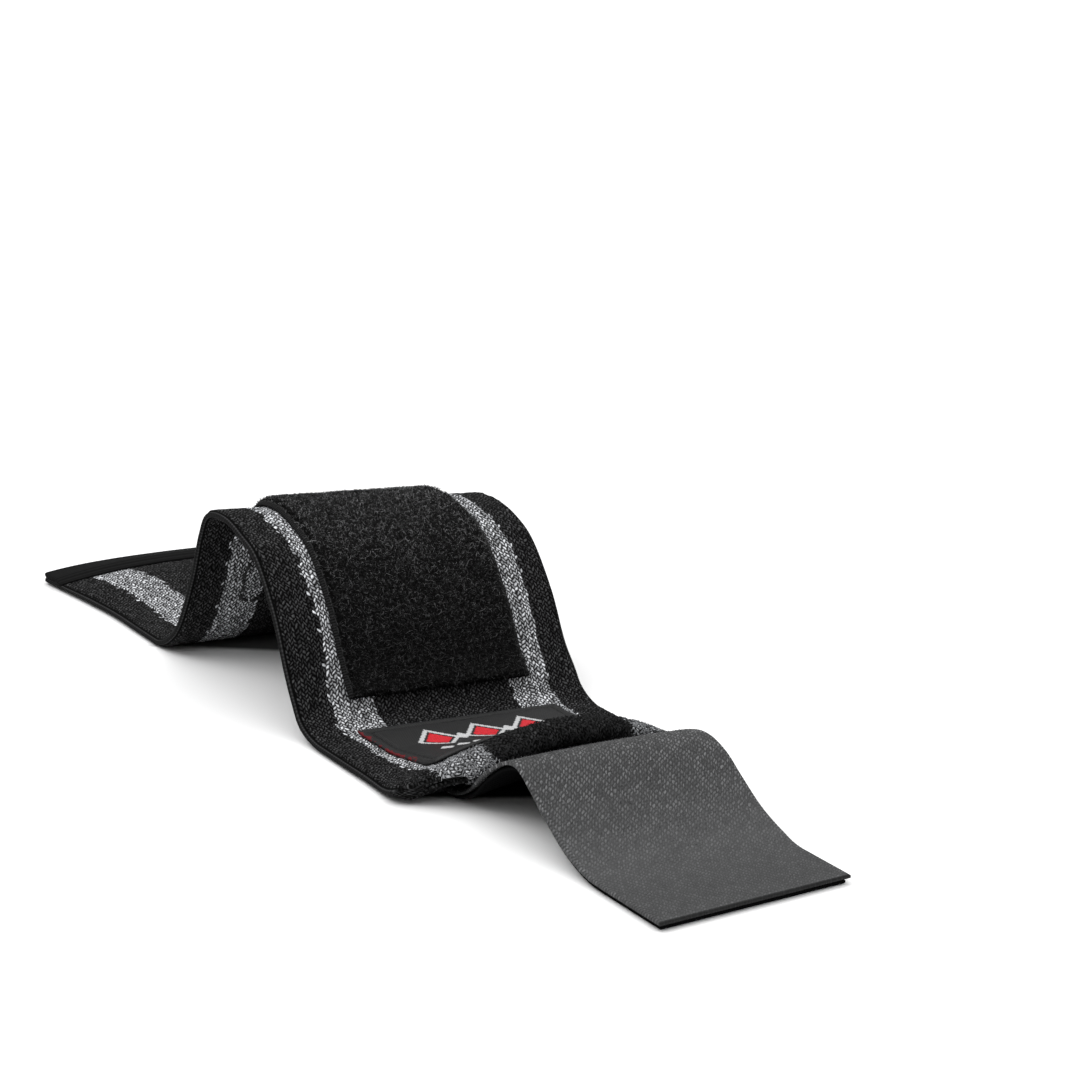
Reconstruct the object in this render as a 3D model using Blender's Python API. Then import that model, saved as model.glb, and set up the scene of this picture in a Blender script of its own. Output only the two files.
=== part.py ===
"""Elastic wrist wrap, lying in waves on a table.

The strap runs along +X from its hemmed end to its tapered end, where the hook tab is sewn under it.
+Y runs across the strap and +Z is up. The wrap rests on the plane Z = 0.
"""
import math

import bmesh
import bpy
from mathutils import Vector

MM = 0.001

# How the wrap lies
LAY_LENGTH = 264 * MM        # hemmed end to the tip of the tab, measured along X
WAVE_RISE = 41 * MM          # rise of the tall wave under the loop panel
HUMP_RISE = 14.5 * MM        # rise of the low wave where the tab begins

# Elastic strap
STRAP_WIDTH = 76 * MM
STRAP_THICK = 2.2 * MM
EDGE_ROUND = 1.0 * MM        # width of the strap's rounded edge
EDGE_SHARE = 0.55            # share of the strap's thickness left at its edge
HEM_LENGTH = 9.5 * MM        # cloth turned over onto the top face
END_WIDTH = 50 * MM          # width left between the two folded corners
TAPER_LENGTH = 12 * MM
END_FOLD = 7 * MM            # cloth turned under at the tapered end
PINCH_LENGTH = 14 * MM       # stretch over which an end seam squeezes the cloth flat
END_PINCH = 0.55             # share of the thickness left at the tapered end's corners
HEM_PINCH = 0.80             # share left along the hem
HEM_CORNER_PINCH = 0.55      # share left at the hem's corners

# Loop panel
PANEL_LENGTH = 90 * MM
PANEL_WIDTH = 48.5 * MM
PANEL_THICK = 2.2 * MM
PANEL_EDGE = 2.5 * MM        # width of the panel's thin woven edge
PANEL_EDGE_THICK = 1.0 * MM
PANEL_LABEL_GAP = 11.5 * MM

# Label
LABEL_LENGTH = 41 * MM
LABEL_WIDTH = 53 * MM
LABEL_THICK = 1.0 * MM
LABEL_SETBACK = 11 * MM      # from the label's front edge to the tapered end

# Hook tab, in two layers
TAB_WIDTH = 51 * MM
HOOK_THICK = 1.0 * MM
BACKING_THICK = 1.0 * MM
BACKING_INSET = 0.8 * MM     # how far the hook tape reaches past its backing

GAP = 0.3 * MM               # clearance between layers that are sewn together
STATION = 2.8 * MM           # spacing of cross-sections along the cloth
STRIP = 7 * MM               # spacing of points across the cloth
WELD = 0.001 * MM
NORMAL_STEP = 0.5 * MM       # distance over which the cloth's direction is taken
TURN_PARTS = 6               # flat parts of a turned end
THIN_EDGE = 0.6              # share of a thin layer's thickness left at its edge
SHARP_ANGLE = math.radians(50)

ELASTIC_BLACK = (0.012, 0.012, 0.013)
PILE_BLACK = (0.008, 0.008, 0.009)
LABEL_BLACK = (0.020, 0.020, 0.020)
HOOK_GREY = (0.100, 0.100, 0.100)
BACKING_BLACK = (0.010, 0.010, 0.010)

# One row for each turn of the strap. along: share of LAY_LENGTH; near and far: rise of the two edges;
# lift: extra rise of the middle; all three as shares of WAVE_RISE. lag: how far the far edge is ahead in X;
# sway: how far the cloth lies off the line in Y; both as shares of STRAP_WIDTH.
STRAP_FOLDS = (
    # along, near, far, lift, lag, sway
    (0.000, 0.000, 0.000, 0.020, -0.04, -0.050),
    (0.038, 0.000, 0.000, 0.070, -0.03, -0.035),
    (0.085, 0.000, 0.010, 0.100, -0.01, -0.015),
    (0.137, 0.000, 0.000, 0.060, 0.00, 0.000),
    (0.188, 0.000, 0.000, 0.010, 0.00, 0.000),
    (0.233, 0.000, 0.000, 0.000, 0.00, 0.000),
    (0.263, 0.090, 0.090, 0.000, 0.00, 0.000),
    (0.283, 0.240, 0.235, 0.000, 0.00, 0.000),
    (0.305, 0.550, 0.520, 0.000, 0.00, 0.000),
    (0.319, 0.830, 0.790, 0.000, 0.00, 0.000),
    (0.333, 0.970, 0.920, 0.000, 0.01, 0.000),
    (0.366, 1.000, 0.945, 0.000, 0.02, 0.000),
    (0.400, 0.945, 0.905, 0.000, 0.02, 0.000),
    (0.429, 0.860, 0.800, 0.000, 0.03, 0.000),
    (0.465, 0.600, 0.550, 0.000, 0.03, 0.000),
    (0.490, 0.325, 0.300, 0.000, 0.03, 0.000),
    (0.506, 0.172, 0.170, 0.000, 0.04, 0.000),
    (0.523, 0.052, 0.060, 0.000, 0.04, 0.000),
    (0.553, 0.000, 0.000, 0.000, 0.03, 0.000),
    (0.600, 0.000, 0.000, 0.000, 0.00, 0.000),
    (0.635, 0.000, 0.000, 0.060, 0.00, 0.000),
    (0.665, 0.000, 0.020, 0.130, 0.00, -0.005),
    (0.690, 0.040, 0.080, 0.185, 0.00, -0.015),
    (0.711, 0.130, 0.180, 0.190, 0.00, -0.020),
    (0.728, 0.180, 0.255, 0.100, 0.00, -0.020),
)

# The tab's rows, with the heights as shares of HUMP_RISE.
TAB_FOLDS = (
    # along, near, far, lift, lag, sway
    (0.684, 0.000, 0.020, 0.180, 0.00, 0.000),
    (0.703, 0.020, 0.120, 0.180, 0.00, 0.000),
    (0.725, 0.190, 0.370, 0.140, 0.00, 0.000),
    (0.748, 0.590, 0.740, 0.070, 0.00, 0.000),
    (0.773, 0.910, 0.930, 0.040, 0.00, 0.000),
    (0.794, 1.000, 0.960, 0.030, 0.00, 0.000),
    (0.816, 0.780, 0.840, 0.020, 0.00, 0.000),
    (0.837, 0.520, 0.610, 0.010, 0.00, 0.000),
    (0.867, 0.210, 0.300, 0.000, 0.00, 0.000),
    (0.898, 0.030, 0.100, 0.000, 0.00, 0.000),
    (0.928, 0.000, 0.000, 0.000, -0.01, 0.000),
    (1.000, 0.000, 0.000, 0.000, -0.05, 0.000),
)

SAMPLES_PER_ROW = 12


def clear_scene():
    for obj in list(bpy.data.objects):
        bpy.data.objects.remove(obj, do_unlink=True)


def catmull_rom(rows, t):
    """Smooth value of every column at row position t."""
    i = min(int(t), len(rows) - 2)
    u = t - i
    first = rows[max(i - 1, 0)]
    last = rows[min(i + 2, len(rows) - 1)]
    values = []
    for a, b, c, d in zip(first, rows[i], rows[i + 1], last):
        values.append(b + 0.5 * u * (c - a + u * (2 * a - 5 * b + 4 * c - d + u * (3 * (b - c) + d - a))))
    return values


class LayLine:
    """The middle layer of a cloth as it lies. place() maps lengths on the cloth to space."""

    def __init__(self, rows, rise, thick, half_width):
        self.half_width = half_width
        self.samples = []
        count = SAMPLES_PER_ROW * (len(rows) - 1)
        for k in range(count + 1):
            along, near, far, lift, lag, sway = catmull_rom(rows, k / SAMPLES_PER_ROW)
            self.samples.append((
                along * LAY_LENGTH,
                max(near, 0.0) * rise + thick / 2,
                max(far, 0.0) * rise + thick / 2,
                max(lift, 0.0) * rise,
                lag * STRAP_WIDTH,
                sway * STRAP_WIDTH,
            ))
        self.lengths = [0.0]
        for a, b in zip(self.samples, self.samples[1:]):
            step = math.hypot(b[0] - a[0], self.middle(b) - self.middle(a))
            self.lengths.append(self.lengths[-1] + step)
        self.length = self.lengths[-1]

    @staticmethod
    def middle(sample):
        return (sample[1] + sample[2]) / 2 + sample[3]

    def sample_at(self, s):
        low, high = 0, len(self.lengths) - 2
        while low < high:
            mid = (low + high + 1) // 2
            if self.lengths[mid] <= s:
                low = mid
            else:
                high = mid - 1
        share = (s - self.lengths[low]) / (self.lengths[low + 1] - self.lengths[low])
        return [a + share * (b - a) for a, b in zip(self.samples[low], self.samples[low + 1])]

    def base(self, s, v):
        x, near, far, lift, lag, sway = self.sample_at(s)
        w = self.half_width(s)
        side = v / w
        bow = 1 - side * side
        across = 0.5 * (1 + side)
        return Vector((x + lag * across, v + sway, near + (far - near) * across + lift * bow))

    def place(self, s, v, off):
        ahead = self.base(s + NORMAL_STEP, v) - self.base(s - NORMAL_STEP, v)
        across = self.base(s, v + NORMAL_STEP) - self.base(s, v - NORMAL_STEP)
        normal = ahead.cross(across).normalized()
        return self.base(s, v) + normal * off


def strap_half_width(s):
    into_taper = (s - (STRAP_END - TAPER_LENGTH)) / TAPER_LENGTH
    share = min(max(into_taper, 0.0), 1.0)
    return (STRAP_WIDTH - share * (STRAP_WIDTH - END_WIDTH)) / 2


def spaced(start, end, step):
    """Even places from start to end, both included."""
    count = max(1, math.ceil((end - start) / step))
    return [start + (end - start) * k / count for k in range(count + 1)]


def columns(half_width, margin, inner):
    """Places across a cloth: its edge, its margin and even strips between."""
    reach = half_width - margin
    middle = [reach * (2 * k / inner - 1) for k in range(inner + 1)]
    return [-half_width] + middle + [half_width]


def finish_mesh(name, bm, colour, roughness):
    bmesh.ops.remove_doubles(bm, verts=bm.verts, dist=WELD)
    bmesh.ops.recalc_face_normals(bm, faces=bm.faces)
    mesh = bpy.data.meshes.new(name)
    bm.to_mesh(mesh)
    bm.free()
    mesh.shade_smooth()
    mesh.set_sharp_from_angle(angle=SHARP_ANGLE)
    material = bpy.data.materials.new(name)
    material.use_nodes = True
    shader = material.node_tree.nodes["Principled BSDF"]
    shader.inputs["Base Color"].default_value = (*colour, 1.0)
    shader.inputs["Roughness"].default_value = roughness
    shader.inputs["Metallic"].default_value = 0.0
    mesh.materials.append(material)
    obj = bpy.data.objects.new(name, mesh)
    bpy.context.collection.objects.link(obj)
    return obj


def grid_faces(bm, upper, lower):
    """Quads over the rows of points in upper, and in lower the other way round."""
    for a, b in zip(upper, upper[1:]):
        for k in range(len(a) - 1):
            bm.faces.new((a[k], b[k], b[k + 1], a[k + 1]))
    for a, b in zip(lower, lower[1:]):
        for k in range(len(a) - 1):
            bm.faces.new((a[k], a[k + 1], b[k + 1], b[k]))


def rim_faces(bm, upper, lower):
    """Quads that close the rim between two grids with as many points each."""
    for (ua, ub), (la, lb) in zip(zip(upper, upper[1:]), zip(lower, lower[1:])):
        bm.faces.new((ua[0], la[0], lb[0], ub[0]))
        bm.faces.new((ua[-1], ub[-1], lb[-1], la[-1]))
    for u, l, flip in ((upper[0], lower[0], False), (upper[-1], lower[-1], True)):
        for k in range(len(u) - 1):
            quad = (u[k], u[k + 1], l[k + 1], l[k])
            bm.faces.new(quad[::-1] if flip else quad)


def turned_line():
    """The strap's middle layer: the hem on top, the turn at each end, and the cloth turned under.

    Each station is a place along the cloth, a height off it, the cloth's heading and a flag for the flap.
    """
    turn = (STRAP_THICK + GAP) / 2
    line = [(s, 2 * turn, math.pi, 0) for s in spaced(turn, HEM_LENGTH, STATION)[::-1]]
    for k in range(1, TURN_PARTS):
        angle = math.pi * k / TURN_PARTS
        line.append((turn - turn * math.sin(angle), turn + turn * math.cos(angle), math.pi + angle, 0))
    taper_start = STRAP_END - TAPER_LENGTH
    flap_end = STRAP_END - END_FOLD - GAP
    last = STRAP_END - turn
    line += [(s, 0.0, 0.0, 0) for s in spaced(turn, taper_start, STATION)]
    line += [(s, 0.0, 0.0, 1) for s in spaced(taper_start, flap_end, STATION)[1:]]
    line += [(s, 0.0, 0.0, 0) for s in spaced(flap_end, last, STATION)]
    for k in range(1, TURN_PARTS):
        angle = math.pi * k / TURN_PARTS
        line.append((last + turn * math.sin(angle), -turn + turn * math.cos(angle), -angle, 0))
    line += [(s, -2 * turn, math.pi, 0) for s in spaced(STRAP_END - END_FOLD, last, STATION)[::-1]]
    return line


def pinch(s, side):
    """Share of the thickness that the end seams leave at a place on the strap."""
    near_end = min(max(1 - (STRAP_END - s) / PINCH_LENGTH, 0.0), 1.0)
    near_hem = min(max(1 - (s - HEM_LENGTH) / PINCH_LENGTH, 0.0), 1.0)
    corner = side ** 4
    at_end = 1 - (1 - END_PINCH) * corner
    at_hem = HEM_PINCH + (HEM_CORNER_PINCH - HEM_PINCH) * corner
    return 1 - (1 - at_end) * near_end - (1 - at_hem) * near_hem


def make_strap(lay):
    bm = bmesh.new()
    inner = 2 * math.ceil(STRAP_WIDTH / STRIP / 2)
    upper, lower, deep_near, deep_far = [], [], [], []
    for s, off, heading, flap in turned_line():
        half = strap_half_width(s)
        tucked = STRAP_WIDTH / 2 - half if flap else 0.0
        across = columns(half, max(tucked, EDGE_ROUND), inner)
        rows = []
        for reach in (STRAP_THICK / 2, -STRAP_THICK / 2, -STRAP_THICK * (0.5 + flap)):
            row = []
            for k, v in enumerate(across):
                squeeze = pinch(s, v / half)
                soft = EDGE_SHARE if k in (0, len(across) - 1) else 1.0
                lift = (off + reach * math.cos(heading) * soft) * squeeze
                row.append(bm.verts.new(lay.place(s - reach * math.sin(heading) * soft, v, lift)))
            rows.append(row)
        upper.append(rows[0])
        lower.append(rows[1][1:-1])
        deep_near.append(rows[2][:2])
        deep_far.append(rows[2][-2:])
    grid_faces(bm, upper, lower)
    grid_faces(bm, [], deep_near)
    grid_faces(bm, [], deep_far)
    grid_faces(bm, [], [[d[1], l[0]] for d, l in zip(deep_near, lower)])
    grid_faces(bm, [], [[l[-1], d[0]] for d, l in zip(deep_far, lower)])
    bottoms = [[n[0], *l, f[-1]] for n, l, f in zip(deep_near, lower, deep_far)]
    rim_faces(bm, upper, bottoms)
    loose = [v for v in bm.verts if not v.link_faces]
    bmesh.ops.delete(bm, geom=loose, context="VERTS")
    return finish_mesh("strap", bm, ELASTIC_BLACK, 0.9)


def make_patch(name, lay, start, end, width, off, thick, edge, edge_thick, colour, roughness):
    """A flat piece laid on the cloth, its underside at height off; edge is the width of a thinner rim."""
    bm = bmesh.new()
    inner = 2 * math.ceil(width / STRIP / 2)
    upper, lower = [], []
    stations = [start] + spaced(start + edge, end - edge, STATION) + [end]
    for i, s in enumerate(stations):
        across = columns(width / 2, edge, inner)
        rim_row = i in (0, len(stations) - 1)
        top_row, bottom_row = [], []
        for k, v in enumerate(across):
            rim = rim_row or k in (0, len(across) - 1)
            height = edge_thick if rim else thick
            top_row.append(bm.verts.new(lay.place(s, v, off + height)))
            bottom_row.append(bm.verts.new(lay.place(s, v, off)))
        upper.append(top_row)
        lower.append(bottom_row)
    grid_faces(bm, upper, lower)
    rim_faces(bm, upper, lower)
    return finish_mesh(name, bm, colour, roughness)


def end_length():
    """Length of the strap's cloth, from the hemmed end's tip to the tapered end."""
    line = LayLine(STRAP_FOLDS, WAVE_RISE, STRAP_THICK, lambda s: STRAP_WIDTH / 2)
    return line.length


STRAP_END = end_length()


def main():
    clear_scene()
    strap_lay = LayLine(STRAP_FOLDS, WAVE_RISE, STRAP_THICK, strap_half_width)
    tab_thick = HOOK_THICK + GAP + BACKING_THICK
    tab_lay = LayLine(TAB_FOLDS, HUMP_RISE, tab_thick, lambda s: TAB_WIDTH / 2)
    on_strap = STRAP_THICK / 2 + GAP
    label_front = STRAP_END - LABEL_SETBACK
    panel_front = label_front - LABEL_LENGTH - PANEL_LABEL_GAP
    pieces = [
        make_strap(strap_lay),
        make_patch("loop_panel", strap_lay, panel_front - PANEL_LENGTH, panel_front, PANEL_WIDTH,
                   on_strap, PANEL_THICK, PANEL_EDGE, PANEL_EDGE_THICK, PILE_BLACK, 1.0),
        make_patch("label", strap_lay, label_front - LABEL_LENGTH, label_front, LABEL_WIDTH,
                   on_strap, LABEL_THICK, LABEL_THICK, LABEL_THICK * THIN_EDGE, LABEL_BLACK, 0.5),
        make_patch("hook_tape", tab_lay, 0.0, tab_lay.length, TAB_WIDTH,
                   tab_thick / 2 - HOOK_THICK, HOOK_THICK,
                   HOOK_THICK, HOOK_THICK * THIN_EDGE, HOOK_GREY, 0.7),
        make_patch("tab_backing", tab_lay, 0.0, tab_lay.length - BACKING_INSET,
                   TAB_WIDTH - 2 * BACKING_INSET, -tab_thick / 2, BACKING_THICK,
                   BACKING_THICK, BACKING_THICK * THIN_EDGE, BACKING_BLACK, 0.9),
    ]
    root = bpy.data.objects.new("wrap", None)
    bpy.context.collection.objects.link(root)
    corners = [v.co for piece in pieces for v in piece.data.vertices]
    for axis in (0, 1):
        values = [c[axis] for c in corners]
        root.location[axis] = -(min(values) + max(values)) / 2
    root.location[2] = -min(c[2] for c in corners)
    for piece in pieces:
        piece.parent = root
    bpy.context.view_layer.update()


main()
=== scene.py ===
"""Elastic wrist wrap, lying in waves on a pale table.

The cloth is placed by length along it and across it, on the same fold lines as the solids. +X runs from
the hemmed end to the tip of the tab, +Y across the strap and +Z up. Textures are laid out in millimetres.
"""
import math

import bmesh
import bpy
import numpy as np
from mathutils import Matrix, Vector


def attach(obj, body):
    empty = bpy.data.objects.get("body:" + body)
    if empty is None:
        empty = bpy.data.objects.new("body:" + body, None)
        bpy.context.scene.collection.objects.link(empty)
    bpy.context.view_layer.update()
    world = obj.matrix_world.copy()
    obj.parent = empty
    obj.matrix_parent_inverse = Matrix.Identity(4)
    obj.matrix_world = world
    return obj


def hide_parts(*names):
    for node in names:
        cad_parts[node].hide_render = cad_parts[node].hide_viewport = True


MM = 0.001

# How the wrap lies
LAY_LENGTH = 264 * MM        # hemmed end to the tip of the tab, measured along X
LAY_START = (-129.92 * MM, 1.88 * MM, 0.0)
WAVE_RISE = 41 * MM          # rise of the tall wave under the loop panel
HUMP_RISE = 14.5 * MM        # rise of the low wave where the tab begins

# Elastic strap
STRAP_WIDTH = 76 * MM
STRAP_THICK = 2.2 * MM
HEM_LENGTH = 9.5 * MM        # cloth turned over onto the top face
END_WIDTH = 50 * MM          # width left between the two folded corners
TAPER_LENGTH = 12 * MM
END_FOLD = 7 * MM            # cloth turned under at the tapered end
PINCH_LENGTH = 14 * MM       # stretch over which an end seam squeezes the cloth flat
END_PINCH = 0.55             # share of the thickness left at the tapered end's corners
HEM_PINCH = 0.80             # share left along the hem
HEM_CORNER_PINCH = 0.55      # share left at the hem's corners
HEM_SEAM_SHARE = 0.35        # share left at the seam along the hem's loose edge
HEM_CORNER = 1.6 * MM        # radius of the hemmed end's two corners
STRIPE_NEAR = 18 * MM        # the grey stripes' edges, measured from the strap's middle
STRIPE_FAR = 29 * MM

# Loop panel
PANEL_LENGTH = 90 * MM
PANEL_WIDTH = 48.5 * MM
PANEL_THICK = 2.2 * MM
PANEL_EDGE = 1.3 * MM        # width of the panel's thin woven edge
PANEL_EDGE_THICK = 1.0 * MM
PANEL_LABEL_GAP = 11.5 * MM
PANEL_SEAM = 0.9 * MM        # the panel's stitch line, in from its edge
FIBRES = 48000
LONG_FIBRES = 0.03           # share of the fibres that are long
FIBRE_RISE = (0.08 * MM, 0.55 * MM)
FIBRE_THICK = 0.055 * MM

# Label
LABEL_LENGTH = 41 * MM
LABEL_WIDTH = 53 * MM
LABEL_THICK = 1.0 * MM
LABEL_SETBACK = 11 * MM      # from the label's front edge to the tapered end
LABEL_SEAM = 2.3 * MM        # the label's stitch line, in from its edge
STITCH_PITCH = 2.3 * MM

# The label's design, in millimetres
DESIGN_STEP = 0.36           # its edges run in steps of the weave
DESIGN_HALF = 18.4           # half the width that the design takes up
LOZENGE_STEP = 12.6          # spacing of the large lozenges
LOZENGE_HALF = (5.6, 7.6)    # half a large lozenge across the strap and along it
LINK_HALF = (1.9, 2.6)       # the same for the small ones between them
LOZENGE_ROW = -7.2           # the row's place along the label
BEAD_STEP = 4.2
BEAD_HALF = (1.8, 2.6)
BEAD_ROW = 4.6
FRINGE_PLACE = -28.9         # the red yarn's inner edge across the label, before it wanders
FRINGE_END = 8.0

# Hook tab, in two layers
TAB_WIDTH = 51 * MM
HOOK_THICK = 1.0 * MM
BACKING_THICK = 1.0 * MM
BACKING_INSET = 0.8 * MM     # how far the hook tape reaches past its backing
TAPE_SELVEDGE = 1.1 * MM     # width of the tape's plain edge
HOOK_ROW = 0.72 * MM         # spacing of the slanting rows of hooks across the tape
HOOK_STEP = 1.40 * MM        # spacing of the hooks along a row
HOOK_SLANT = 0.55            # how far a row runs aside for each length along the tape
HOOK_HEIGHT = 0.13 * MM
HOOK_REACH = (0.4 * MM, 0.9 * MM)
HOOK_THREAD = 0.075 * MM
COVERED = 14 * MM            # length of the tape that the strap's end covers

GAP = 0.3 * MM               # clearance between layers that are sewn together

# Knit: columns of short leaning stitches. Every other column is shifted by half a row and leans the
# other way.
WALE = 0.78 * MM             # spacing of the columns across the strap
COURSE = 1.15 * MM           # spacing of the rows along the strap
KNIT_HALF = 36.9 * MM        # half the width between the two woven edges
KNIT_RELIEF = 0.26 * MM
KNIT_SWAY = 0.8 * MM         # how far the rows and columns wander
WEAVE_DRIFT = 1.6 * MM       # how far the weave is pulled aside under the loop panel
STITCH_HALF_WIDTH = 0.44     # as a share of WALE
STITCH_HALF_LENGTH = 0.51    # as a share of COURSE
STITCH_LEAN = 0.70           # how far across a stitch leans over its row, as a share of WALE
MESH_STEP = 0.8 * MM         # spacing of the strap's mesh along it
MESH_COLUMNS = 141           # points across the knit
LOOSE_YARNS = 2600           # on the knit round the tapered end
YARN_LENGTH = (0.5 * MM, 1.6 * MM)
YARN_RISE = (0.05 * MM, 0.45 * MM)
YARN_THICK = 0.10 * MM

SAMPLES_PER_ROW = 24
NORMAL_STEP = 0.5 * MM

# One row for each turn of the strap. along: share of LAY_LENGTH; near and far: rise of the two edges;
# lift: extra rise of the middle; all three as shares of WAVE_RISE. lag: how far the far edge is ahead in X;
# sway: how far the cloth lies off the line in Y; both as shares of STRAP_WIDTH.
STRAP_FOLDS = (
    # along, near, far, lift, lag, sway
    (0.000, 0.000, 0.000, 0.020, -0.04, -0.050),
    (0.038, 0.000, 0.000, 0.070, -0.03, -0.035),
    (0.085, 0.000, 0.010, 0.100, -0.01, -0.015),
    (0.137, 0.000, 0.000, 0.060, 0.00, 0.000),
    (0.188, 0.000, 0.000, 0.010, 0.00, 0.000),
    (0.233, 0.000, 0.000, 0.000, 0.00, 0.000),
    (0.263, 0.090, 0.090, 0.000, 0.00, 0.000),
    (0.283, 0.240, 0.235, 0.000, 0.00, 0.000),
    (0.305, 0.550, 0.520, 0.000, 0.00, 0.000),
    (0.319, 0.830, 0.790, 0.000, 0.00, 0.000),
    (0.333, 0.970, 0.920, 0.000, 0.01, 0.000),
    (0.366, 1.000, 0.945, 0.000, 0.02, 0.000),
    (0.400, 0.945, 0.905, 0.000, 0.02, 0.000),
    (0.429, 0.860, 0.800, 0.000, 0.03, 0.000),
    (0.465, 0.600, 0.550, 0.000, 0.03, 0.000),
    (0.490, 0.325, 0.300, 0.000, 0.03, 0.000),
    (0.506, 0.172, 0.170, 0.000, 0.04, 0.000),
    (0.523, 0.052, 0.060, 0.000, 0.04, 0.000),
    (0.553, 0.000, 0.000, 0.000, 0.03, 0.000),
    (0.600, 0.000, 0.000, 0.000, 0.00, 0.000),
    (0.635, 0.000, 0.000, 0.060, 0.00, 0.000),
    (0.665, 0.000, 0.020, 0.130, 0.00, -0.005),
    (0.690, 0.040, 0.080, 0.185, 0.00, -0.015),
    (0.711, 0.130, 0.180, 0.190, 0.00, -0.020),
    (0.728, 0.180, 0.255, 0.100, 0.00, -0.020),
)

# The tab's rows, with the heights as shares of HUMP_RISE.
TAB_FOLDS = (
    # along, near, far, lift, lag, sway
    (0.684, 0.000, 0.020, 0.180, 0.00, 0.000),
    (0.703, 0.020, 0.120, 0.180, 0.00, 0.000),
    (0.725, 0.190, 0.370, 0.140, 0.00, 0.000),
    (0.748, 0.590, 0.740, 0.070, 0.00, 0.000),
    (0.773, 0.910, 0.930, 0.040, 0.00, 0.000),
    (0.794, 1.000, 0.960, 0.030, 0.00, 0.000),
    (0.816, 0.780, 0.840, 0.020, 0.00, 0.000),
    (0.837, 0.520, 0.610, 0.010, 0.00, 0.000),
    (0.867, 0.210, 0.300, 0.000, 0.00, 0.000),
    (0.898, 0.030, 0.100, 0.000, 0.00, 0.000),
    (0.928, 0.000, 0.000, 0.000, -0.01, 0.000),
    (1.000, 0.000, 0.000, 0.000, -0.05, 0.000),
)

# The strap's woven edge in section. inset: distance in from the edge; height: share of half the thickness.
EDGE_PROFILE = (
    # inset in mm, height
    (0.00, 0.10),
    (0.10, 0.36),
    (0.30, 0.54),
    (0.60, 0.56),
    (0.86, 0.42),
)

# The same rows where the cloth is folded under at the tapered end.
FOLD_PROFILE = (0.25, 0.62, 0.86, 0.97, 1.00)

# Colours, as linear brightness
# The knit's two values for each yarn: painted shade between the stitches and a painted highlight on their
# tops
KNIT_BLACK = (0.0006, 0.046)     # between the stitches and on them
KNIT_PALE = (0.026, 0.60)
KNIT_HEM = 0.38                  # the hem's brightness, as a share of the woven edge's
PILE_BLACK = 0.0035
FIBRE_BLACK = 0.0135
PANEL_EDGE_BLACK = 0.009
FUZZ_TONES = (0.018, 0.17)       # on the black knit and on the stripes
LABEL_BLACK = 0.013
LABEL_PALE = 0.52
LABEL_RED = (0.56, 0.014, 0.024, 1.0)
FRINGE_RED = (0.14, 0.004, 0.008, 1.0)
TAPE_GREY = 0.064
HOOK_GREY = 0.068
BACKING_BLACK = 0.006
THREAD_BLACK = 0.012

# Light
SIDE_LIGHT = 0.13
CEILING_LIGHT = 1.75
LIGHT_GROWS = (0.15, 0.85)       # between these heights in the sky, as shares of the way up
KEY_AT = (-0.25, -0.80, 1.10)
KEY_SIZE = 0.9
KEY_POWER = 5.0

# Where the table lies in the deep shade behind the foot of each open wave. The shade's near edge starts at
# from X and edge Y, and runs on across the strap by slope.
SHADED_SPOTS = (
    # from X, to X, edge Y, slope, albedo
    (-70 * MM, -40 * MM, -38 * MM, 1.71, 0.10),
    (48 * MM, 84 * MM, -36 * MM, 2.23, 0.03),
)
SHADE_FADE = (2 * MM, 20 * MM)   # the shade fades out between these places in Y
SHADE_SOFT = 1.8 * MM
TABLE_ALBEDO = 0.90
TABLE_REACH = 30.0
TABLE_DROP = 0.1 * MM        # how far the table lies below the cloth

# Camera
CAMERA_LENS = 94.57
CAMERA_FILM = 36.0
CAMERA_REACH = 100.0
CAMERA_AT = (547.98 * MM, -333.52 * MM, 220.70 * MM)
CAMERA_AZIMUTH = math.radians(56.28)
CAMERA_PITCH = math.radians(15.42)
CAMERA_ROLL = math.radians(3.44)


def catmull_rom(rows, t):
    """Smooth value of every column at row position t."""
    i = min(int(t), len(rows) - 2)
    u = t - i
    first = rows[max(i - 1, 0)]
    last = rows[min(i + 2, len(rows) - 1)]
    values = []
    for a, b, c, d in zip(first, rows[i], rows[i + 1], last):
        values.append(b + 0.5 * u * (c - a + u * (2 * a - 5 * b + 4 * c - d + u * (3 * (b - c) + d - a))))
    return values


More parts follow.
